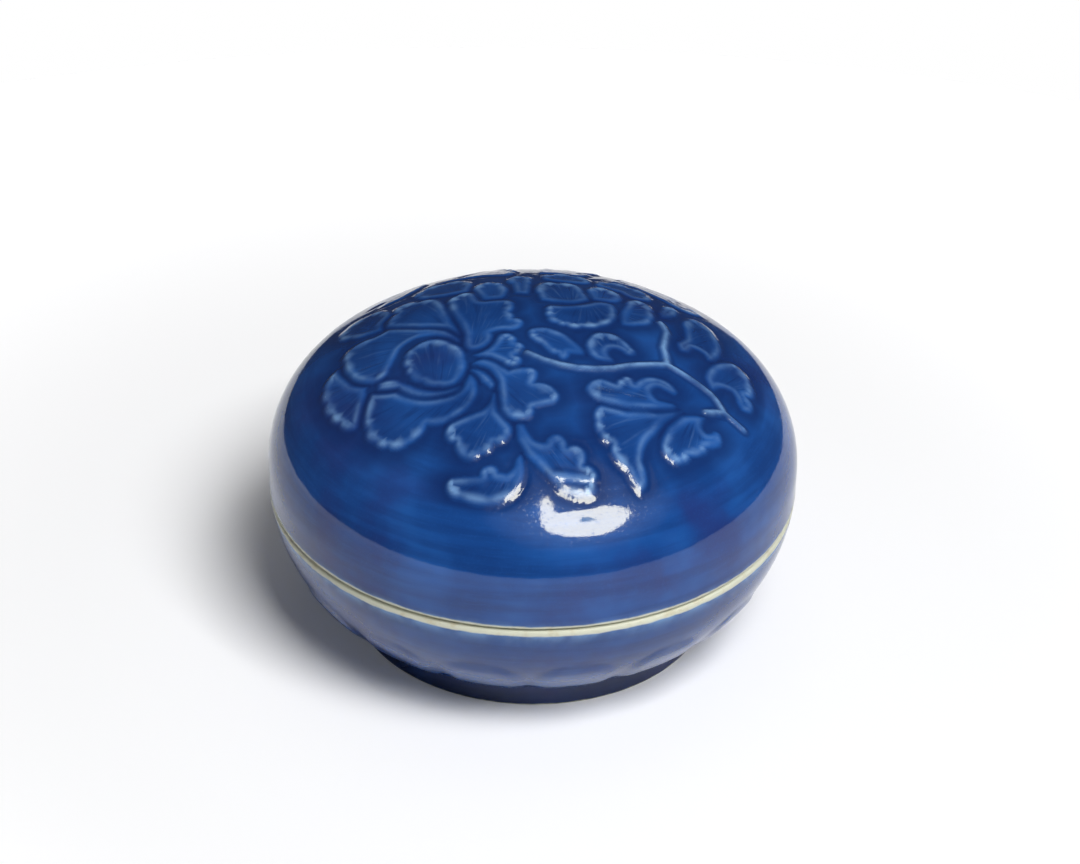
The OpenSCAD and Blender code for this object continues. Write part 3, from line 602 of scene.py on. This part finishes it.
# Each motif: its outline, the point that its comb strokes run from, and whether it is a
# plain ridge without a hollow face.
motifs = [
    (boss, (-15, -20), False), (cup_petal, (-11.5, -13), True),
    (low_left_petal, (-7, -12), False), (left_petal, (-11, -5), False),
    (far_left_petal, (-22, -8), False), (up_left_petal, (-11.5, -4), False),
    (rear_left_petal, (-22, 3), False), (tall_petal, (-10, -9), False),
    (crown_petal, (-7, 4), False), (rear_petal, (-12, 8), False),
    (edge_petal, (-11, -7.5), False), (low_petal, (-3, -15), False),
    (hand_petal, (-11, -9), False), (sliver_petal, (-12, -10), True),
    (back_low_petal, (8, 10), False), (back_mid_petal, (6, 4), False),
    (back_side_petal, (10, 6), False), (back_right_petal, (12, 6), False),
    (back_top_petal, (5, 12), False), (back_left_petal, (-1, 6), False),
    (back_rear_petal, (11, 12), False), (curl_leaf, (24, -15.5), False),
    (fan_leaf, (24.5, -15), False), (hook_leaf, (26, -13.5), False),
    (wing_leaf, (-2.8, -21), False), (tuck_leaf, (0, -32), True),
    (moon_leaf, (-1.2, -27), False), (small_leaf, (9.5, -8.5), False),
    (snail_leaf, (13.5, -10), False), (bell_leaf, (22, -3), False),
    (outer_leaf, (27.5, -10), False), (bud_leaf, (20, 7), False),
    (turned(fan_leaf, 165), (-21, 20.5), False), (turned(hook_leaf, 176), (-26.5, 12.5), False),
    (rear_wing_leaf, (3, 19), False), (rear_curl_leaf, (11, 20), False)]
stems = [
    ([[-1.2, -8.8, .33], [15, -9, 0], [21, -6.2, -.05], [28, -9.3, -.1], [30, -12.2, 0],
      [33, -13.5, 0]], 0.75),
    ([[21, -5.8, .05], [20.5, -2, 0], [21.2, 3, .1], [20.3, 6.2, 0]], 0.7),
    ([[29.6, -12.5, 0], [27, -13.9, 0]], 0.7)]


def swollen(points, closed, steps=6):
    """Points of an outline or a stem, each stretch bowed by its swell, and where it is a lobe."""
    ends = points[1:] + points[:1] if closed else points[1:]
    path, lobe = [], []
    for (ax, ay, swell), (bx, by, _) in zip(points, ends):
        a, b = complex(ax, ay), complex(bx, by)
        path.append(a)
        lobe.append(0)
        if abs(swell) >= 0.02:
            sweep = 4 * math.atan(swell)
            centre = (a + b) / 2 + 1j * (b - a) / 2 / math.tan(sweep / 2)
            path += [centre + (a - centre) * complex(math.cos(sweep * i / steps),
                                                     math.sin(sweep * i / steps))
                     for i in range(1, steps)]
            lobe += [math.sin(math.pi * i / steps) * min(1, max(0, swell / 0.3))
                     for i in range(1, steps)]
    if not closed:
        path.append(complex(*points[-1][:2]))
        lobe.append(0)
    return np.array([[p.real, p.imag] for p in path]) * plan_scale, np.array(lobe)


def nearest(spots, path, closed):
    """For each spot: its distance from a path, the way to it, and its place along the points."""
    a = path
    b = np.roll(path, -1, 0) if closed else path[1:]
    a = a[:len(b)]
    step = b - a
    size = np.maximum((step ** 2).sum(1), 1e-12)
    t = np.clip(((spots[:, None] - a) * step).sum(2) / size, 0, 1)
    away = spots[:, None] - (a + t[..., None] * step)
    gap = np.hypot(away[..., 0], away[..., 1])
    best = gap.argmin(1)
    rows = np.arange(len(spots))
    return gap[rows, best], away[rows, best], best + t[rows, best]


def inside(spots, path):
    """Whether each spot lies inside a closed outline."""
    x, y = spots[:, 0][:, None], spots[:, 1][:, None]
    ax, ay = path[:, 0], path[:, 1]
    bx, by = np.roll(ax, -1), np.roll(ay, -1)
    crosses = (ay > y) != (by > y)
    slant = np.where(by == ay, 1, by - ay)
    return (crosses & (x < (bx - ax) * (y - ay) / slant + ax)).sum(1) % 2 == 1


def near(spots, path, reach):
    """Rows of the spots that lie in the box round a path."""
    low, high = path.min(0) - reach, path.max(0) + reach
    return np.nonzero(((spots > low) & (spots < high)).all(1))[0]


def settle(spots):
    """Slides points that lie beside a carved line onto it, so that each edge comes out clean."""
    for points, _, _ in motifs:
        path, _ = swollen(points, True)
        rows = near(spots, path, 0.6)
        gap, away, _ = nearest(spots[rows], path, True)
        held = inside(spots[rows], path)
        deep = np.where(held, gap, -gap)
        way = away / np.maximum(gap, 1e-6)[:, None] * np.where(held, 1, -1)[:, None]
        for level in (-crest_out, crest_in):
            close = (np.abs(deep - level) < snap) & (gap > 1e-3)
            spots[rows[close]] += way[close] * (level - deep[close])[:, None]


def unfold(spots, kept):
    """Puts the corners of cells that the sliding has folded back to where they were."""
    side = math.isqrt(len(spots))
    for _ in range(4):
        grid = spots.reshape(side, side, 2)
        corners = [grid[:-1, :-1], grid[:-1, 1:], grid[1:, 1:], grid[1:, :-1]]
        folded = np.zeros((side - 1, side - 1), bool)
        for i in range(4):
            one = corners[(i + 1) % 4] - corners[i]
            two = corners[(i + 2) % 4] - corners[(i + 1) % 4]
            cross = one[..., 0] * two[..., 1] - one[..., 1] * two[..., 0]
            if i == 0:
                facing = np.sign(np.median(cross))
            folded |= cross * facing < least_corner
        back = np.zeros((side, side), bool)
        for row, col in ((0, 0), (0, 1), (1, 1), (1, 0)):
            back[row:side - 1 + row, col:side - 1 + col] |= folded
        spots[back.ravel()] = kept[back.ravel()]


def carve(spots):
    """Height, thinned glaze and painted sheen, pooling and painted shade, carved face and comb
    strokes for each point of the plan.
    """
    rise, thin_and_sheen, pooled_and_shade, face, ground, raised = np.zeros((6, len(spots)))
    comb = np.zeros((len(spots), 3))
    for index, (points, root, ridge) in enumerate(motifs):
        path, lobes = swollen(points, True)
        rows = near(spots, path, motif_reach)
        here = spots[rows]
        gap, _, place = nearest(here, path, True)
        lobe = np.interp(place, np.arange(len(path) + 1), np.append(lobes, lobes[0]))
        deep = np.where(inside(here, path), gap, -gap)
        off = here - np.array(root) * plan_scale
        reach = np.hypot(off[:, 0], off[:, 1])
        far = np.hypot(*(path - np.array(root) * plan_scale).T)
        t = smooth((reach - far.min()) / max(np.ptp(far), 1e-6))
        # The clay: a rolled crest, a fall to the hollow face, and a groove all round.
        crown = crest_h * (crest_root + crest_tip * t + crest_lobe * lobe * t)
        if ridge:
            h = crown * ridge_share * smooth((deep + crest_out) / (1.5 + crest_out))
        else:
            wall = smooth((deep + crest_out) / (crest_in + crest_out))
            fall = smooth((deep - crest_in) / 1.3)
            hollow = dish_h * (0.1 + 0.9 * t) + dish_swell * smooth((deep - 1.8) / 3)
            h = np.where(deep < crest_in, crown * wall, crown + (hollow - crown) * fall)
        held = deep > -crest_out
        take = held & (h > rise[rows])
        low = np.minimum(rise[rows], -groove_h * bell(deep, -groove_out, groove_w))
        rise[rows] = np.where(take, h, np.where(held | (rise[rows] > 0), rise[rows], low))
        # The glaze: thinned on the crest, with painted sheen there, pooling in the groove, and
        # pooling with painted shade on the ground beside it.
        width = np.where(deep > crest_in, 0.40 + 0.80 * lobe * t, 0.34)
        # The crest is painted paler towards the tips and on the lobes, as thinned glaze and
        # painted sheen.
        edge = bell(deep, crest_in, width) * (thin_and_sheen_root + thin_and_sheen_tip * t + thin_and_sheen_lobe * lobe * t)
        thin_and_sheen[rows] = np.maximum(thin_and_sheen[rows], edge)
        pool = pool_share * bell(deep, -pool_out, pool_w)
        pooled_and_shade[rows] = np.maximum(pooled_and_shade[rows], np.minimum(1, 0.9 * pooled_and_shade[rows] + pool))
        ground[rows] = np.maximum(ground[rows], bell(np.clip(-deep, 0, 9), 0, ground_w))
        raised[rows] = np.maximum(raised[rows], smooth((deep + 0.35) / 0.6))
        face[rows] = np.where(take, smooth((deep - 0.9) / 0.8) * (not ridge), face[rows])
        # The comb strokes fan out from the motif's root.
        bearing = np.arctan2(off[:, 1], off[:, 0])
        comb[rows[take]] = np.stack([bearing * 13 + index * 7.3, reach * 0.10,
                                     np.full(len(rows), index * 3.1)], 1)[take]
    for points, end in stems:
        path, _ = swollen(points, False)
        rows = near(spots, path, stem_reach)
        gap, _, place = nearest(spots[rows], path, False)
        half = stem_half * (1 - (1 - end) * place / (len(path) - 1))
        ridge = stem_h * np.clip(1 - (gap / half) ** 2, 0, 1) ** 1.3
        take = (gap < half) & (ridge > rise[rows])
        low = np.minimum(rise[rows],
                         -groove_h * bell(gap - half, stem_groove_out, stem_beside_w))
        rise[rows] = np.where(take, ridge,
                              np.where((gap < half) | (rise[rows] > 0), rise[rows], low))
        # The stems' crests are made pale as thinned glaze and painted sheen.
        thin_and_sheen[rows] = np.maximum(thin_and_sheen[rows], stem_thin_and_sheen * bell(gap, 0, stem_thin_and_sheen_w))
        beside = stem_pool * bell(gap - half, stem_pool_out, stem_beside_w)
        pooled_and_shade[rows] = np.maximum(pooled_and_shade[rows], beside)
    # Painted shade with the pooling: the ground near the motifs is darkened wherever it is not
    # raised.
    pooled_and_shade = np.maximum(pooled_and_shade, ground_pool_and_shade * ground * (1 - raised))
    return rise, thin_and_sheen, pooled_and_shade, face, comb


# The plain rim and inside are thrown, the crown is a grid pressed round, and the two are
# joined edge to edge where the relief ends.
inner_crown = crown_r - lid_wall
lid_low = seam_z + 0.24
field_angle = math.degrees(math.acos((field_r - shoulder_c[0]) / shoulder_r))
lid_shell = (arc(shoulder_c, shoulder_r, field_angle, 0, step=0.8)
             + line((box_r, skirt_top - 0.7), (box_r, seam_z + 0.70), step=0.7)
             + [(box_r, seam_z + 0.70), (box_r - 0.05, seam_z + 0.58),
                (box_r - 0.18, seam_z + 0.50), (box_r - 0.75, seam_z + 0.42)]
             + line((box_r - 1.3, lid_low), (lid_in_r, lid_low), step=0.7)
             + line((lid_in_r, lid_low), (lid_in_r, skirt_top), step=0.8)
             + arc(shoulder_c, shoulder_r - lid_wall, 0, blend_angle, step=1.2)[:-1]
             + arc((0, crown_z), inner_crown, blend_angle, 90, step=2.2)[:-1]
             + [(0, crown_z + inner_crown)])
lid_bm = throw(lid_shell, grid_cells * 2)
shell_rim = [e for e in lid_bm.edges if e.is_boundary]
made = bmesh.ops.create_grid(lid_bm, x_segments=grid_cells, y_segments=grid_cells, size=1.0)
grid_verts = made["verts"]
flat = np.array([v.co[:2] for v in grid_verts])
u, v = flat[:, 0], flat[:, 1]
wide = np.abs(u) >= np.abs(v)
big = np.where(wide, u, v)
small = np.where(wide, v, u)
ratio = small / np.where(big == 0, 1, big) * math.pi / 4
spots = np.stack([np.where(wide, np.cos(ratio), np.sin(ratio)) * big,
                  np.where(wide, np.sin(ratio), np.cos(ratio)) * big], 1) * (field_r - 0.3)
rim_spots = np.hypot(spots[:, 0], spots[:, 1]) > field_r - 0.6
kept = spots.copy()
settle(spots)
spots[rim_spots] = kept[rim_spots]
unfold(spots, kept)
rise, thin_and_sheen, pooled_and_shade, hollow, comb = carve(spots)
waves = np.array([noise.noise(Vector((x * 0.085, y * 0.085, 1.7))) for x, y in spots])
reach = np.hypot(spots[:, 0], spots[:, 1])
to_edge = field_r - 0.5 - reach
low_by = 1.2 + 8.3 * smooth((spots[:, 1] + 5) / 20)
lift = (rise + wave_h * waves) * smooth(to_edge / low_by)
beyond = np.clip(reach - shoulder_c[0], 0, None)
tall = np.where(reach < blend_r,
                np.sqrt((crown_r + lift) ** 2 - reach ** 2) + crown_z,
                np.sqrt((shoulder_r + lift) ** 2 - beyond ** 2) + shoulder_c[1])
for vert, (x, y), z in zip(grid_verts, spots, tall):
    vert.co = (x * MM, y * MM, z * MM)
grid_rim = [e for e in lid_bm.edges if e.is_boundary and e not in set(shell_rim)]
bmesh.ops.bridge_loops(lid_bm, edges=shell_rim + grid_rim)
bmesh.ops.recalc_face_normals(lid_bm, faces=lid_bm.faces)
lid_bm.verts.index_update()
grid_index = np.array([v.index for v in grid_verts])
for face in lid_bm.faces:
    face.material_index = int(face.normal.dot(face.calc_center_median() - lid_middle) < 0)
lid_glaze = blue_glaze("lid_blue_glaze", cobalt, light_cobalt, lid_bare_from, lid_bare_to,
                       carved=True)
lid_white = clear_glaze("lid_white_glaze", 0.020, 0.0272)
lid = fire("domed_lid", lid_bm, "lid_body",
           ["lid", "peony_boss", "peony_petals", "peony_back", "vine_stem", "front_leaves",
            "side_leaves", "back_leaves"], [lid_glaze, lid_white])
above_seam = places(lid.data)[:, 2] / MM - seam_z
low_edge = skirt_thin * bell(above_seam, 0.65, 0.5)
low_pool = skirt_pool * smooth((4.5 - above_seam) / 4)
for name, full, relief in (("thin_glaze_and_sheen", low_edge, thin_and_sheen), ("pooled_glaze_and_shade", low_pool, pooled_and_shade),
                           ("carved", np.zeros(len(above_seam)), hollow)):
    full[grid_index] = relief * smooth(to_edge / 1.2)
    layer(lid.data, name, full)
full = np.zeros((len(above_seam), 3))
full[grid_index] = comb
layer(lid.data, "comb", full, "FLOAT_VECTOR")

# STUDIO
# A white table that ends a short way off and a large soft lamp high on the right. Grey cards
# round the set, and a lit wall behind the lamp, show in the glaze and nowhere else.
table_r, table_y = 0.32, -0.11
table_white = (0.93, 0.93, 0.935)
table_glow = (0.05, 0.30)
table_glow_from, table_glow_to = 0.075, 0.20
room_r = 3.0
room_back = (0, room_r, 0)
lamp_far = 2.0
aim_at = Vector((0, 0, 0.03))
card_grey, lamp_cloth, holder_grey = (0.10, 0.105, 0.12), (1.0, 0.97, 0.78), (0.70, 0.95, 0.95)
wall_white, wall_r, wall_behind = (0.95, 1.0, 1.0), 1.35, 0.04
low_air, high_air, backdrop = (0.004, 0.004, 0.005), (0.105, 0.107, 0.112), (1.0, 1.0, 1.0)


def stage_piece(name, bm, material):
    """Makes a bmesh a piece of the studio."""
    mesh = bpy.data.meshes.new(name)
    bm.to_mesh(mesh)
    bm.free()
    mesh.materials.append(material)
    thing = bpy.data.objects.new(name, mesh)
    bpy.context.scene.collection.objects.link(thing)
    return thing


def glowing(name, colour, strength, centre=None, near=0.0, far=1.0, far_strength=0.0):
    """A lit surface, evenly or fading with the distance from a point."""
    material = bpy.data.materials.new(name)
    material.use_nodes = True
    lit = Nodes(material.node_tree)
    lit.tree.nodes.clear()
    if centre is not None:
        away = lit.node("VectorMath", "Value", {"operation": "DISTANCE"},
                        i0=lit.node("TexCoord", "Object"), i1=tuple(centre))
        strength = lit.node("MapRange", i0=away, i1=near, i2=far, i3=strength, i4=far_strength)
    lit.node("OutputMaterial", Surface=lit.node("Emission", Color=colour, Strength=strength))
    return material


def way_to(bearing, climb):
    """The way from the box to a lamp. Bearing 0 is in front and 90 on the right."""
    b, c = math.radians(bearing), math.radians(climb)
    return Vector((math.sin(b) * math.cos(c), -math.cos(b) * math.cos(c), math.sin(c)))


def soft_lamp(name, bearing, climb, size, watts):
    """A square lamp aimed at the box, which the glaze doesn't mirror."""
    light = bpy.data.lights.new(name, "AREA")
    light.shape = "RECTANGLE"
    light.size = light.size_y = size
    light.energy = watts
    lamp = bpy.data.objects.new(name, light)
    bpy.context.scene.collection.objects.link(lamp)
    way = way_to(bearing, climb)
    lamp.location = aim_at + way * lamp_far
    lamp.rotation_mode = "QUATERNION"
    lamp.rotation_quaternion = way.to_track_quat("Z", "Y")
    lamp.visible_glossy = False


paper = Recipe("white_table")
paper.finish(table_white, 0.9, paper.dent(paper.cloud(900.0), 0.00001))
paper.shader.inputs["Specular IOR Level"].default_value = 0.0
paper.shader.inputs["Emission Color"].default_value = (1, 1, 1, 1)
spread = paper.node("VectorMath", "Value", {"operation": "LENGTH"}, i0=paper.place)
glow = paper.span(spread, table_glow_from, table_glow_to, *table_glow)
paper.feed(paper.shader.inputs["Emission Strength"],
           paper.times(paper.node("LightPath", "Is Camera Ray"), glow))
bm = bmesh.new()
bmesh.ops.create_circle(bm, cap_ends=True, segments=160, radius=table_r)
bmesh.ops.translate(bm, verts=bm.verts, vec=(0, table_y, 0))
stage_piece("white_table", bm, paper.material)

bm = bmesh.new()
bmesh.ops.create_uvsphere(bm, u_segments=64, v_segments=48, radius=room_r)
bmesh.ops.bisect_plane(bm, geom=bm.verts[:] + bm.edges[:] + bm.faces[:],
                       plane_co=(0, 0, -0.001), plane_no=(0, 0, 1), clear_inner=True)
for vert in bm.verts:
    if vert.co.z < 0.01:
        behind = (1 + vert.co.y / room_r) / 2
        dip = math.radians(0.3 - 15.3 * behind ** 3)
        vert.co = (vert.co.x * math.cos(dip), vert.co.y * math.cos(dip), room_r * math.sin(dip))
bmesh.ops.reverse_faces(bm, faces=bm.faces)
cards = stage_piece("grey_cards", bm,
                    glowing("grey_card", card_grey, strength=0.42, centre=room_back, near=1.2,
                            far=3.6, far_strength=1.0))

soft_lamp("key_lamp", bearing=33, climb=55, size=0.92, watts=46)
soft_lamp("top_lamp", bearing=170, climb=70, size=1.2, watts=1.5)

# The lamp as the glaze shows it, a soft box with its bulb's holder in the middle.
box_outline = [(-0.134, 0.786), (-0.188, 0.780), (-0.230, 0.732), (-0.290, 0.616),
               (-0.437, 0.274), (-0.531, -0.005), (-0.544, -0.177), (-0.485, -0.312),
               (-0.372, -0.441), (-0.240, -0.534), (-0.116, -0.584), (0.041, -0.610),
               (0.218, -0.550), (0.363, -0.410), (0.495, -0.221), (0.557, -0.077),
               (0.566, 0.115), (0.495, 0.267), (0.397, 0.394), (0.264, 0.453), (0.105, 0.434),
               (-0.044, 0.398), (-0.162, 0.397), (-0.161, 0.499), (-0.108, 0.642),
               (-0.092, 0.719), (-0.105, 0.764)]
hub_place, hub_r = (0.048, 0.020), 0.085
way = way_to(bearing=32, climb=56)
side = Vector((0, 0, 1)).cross(way).normalized()
lamp_turn = Matrix((side, way.cross(side), way)).transposed().to_4x4()
lamp_place = aim_at + way * lamp_far
bm = bmesh.new()
bm.faces.new([bm.verts.new((x, y, 0)) for x, y in box_outline])
bmesh.ops.triangulate(bm, faces=bm.faces)
hub = bmesh.ops.create_circle(bm, cap_ends=True, segments=24, radius=hub_r)
bmesh.ops.translate(bm, verts=hub["verts"], vec=(*hub_place, -0.01))
for face in hub["verts"][0].link_faces:
    face.material_index = 1
soft_box = stage_piece("soft_box", bm, glowing("lit_cloth", lamp_cloth, strength=16.5))
soft_box.data.materials.append(glowing("lamp_holder", holder_grey, strength=4))
soft_box.data.transform(Matrix.Translation(lamp_place) @ lamp_turn)
bm = bmesh.new()
bmesh.ops.create_circle(bm, cap_ends=True, segments=64, radius=wall_r)
bmesh.ops.transform(bm, verts=bm.verts,
                    matrix=Matrix.Translation(lamp_place + way * wall_behind) @ lamp_turn)
lit_wall = stage_piece("lit_wall", bm,
                       glowing("lit_wall", wall_white, strength=1.0, centre=lamp_place,
                               near=0.45, far=wall_r, far_strength=0.115))
for thing in (cards, soft_box, lit_wall):
    thing.visible_camera = False
    thing.visible_diffuse = False
    thing.visible_transmission = False
    thing.visible_shadow = False

world = bpy.data.worlds.new("studio")
bpy.context.scene.world = world
world.use_nodes = True
air = Nodes(world.node_tree)
air.tree.nodes.clear()
ray = air.tree.nodes.new("ShaderNodeLightPath").outputs
seen = air.maths("MAXIMUM", air.maths("MAXIMUM", ray["Is Camera Ray"], ray["Is Glossy Ray"]),
               ray["Is Transmission Ray"])
way_up = air.node("SeparateXYZ", 2, Vector=air.node("TexCoord", "Generated"))
colour = air.blend(seen, air.blend(way_up, low_air, high_air), backdrop)
air.node("OutputWorld", Surface=air.node("Background", Color=colour))

# CAMERA
# The photograph's view: 33.6 degrees above the table from half a metre, with a long lens and
# a slight lean to the right.
tilt, far, lean = math.radians(33.61), 0.516, math.radians(0.93)
frame_w, frame_h = 1080, 864
axis_x, seam_y = 532.6, 476.1
camera = bpy.data.cameras.new("camera")
camera.lens = 104.97
camera.sensor_width = 36
camera.shift_x = (frame_w / 2 - axis_x) / frame_w
camera.shift_y = (seam_y - frame_h / 2) / frame_w
camera.clip_start, camera.clip_end = 0.01, 20
view = bpy.data.objects.new("camera", camera)
bpy.context.scene.collection.objects.link(view)
view.rotation_mode = "QUATERNION"
aim = Vector((0, math.cos(tilt), -math.sin(tilt)))
view.location = Vector((0, 0, seam_z * MM)) - aim * far
turn = aim.to_track_quat("-Z", "Y").to_matrix().to_4x4() @ Matrix.Rotation(lean, 4, "Z")
view.rotation_quaternion = turn.to_quaternion()
bpy.context.scene.camera = view
bpy.context.scene.view_settings.view_transform = "Standard"
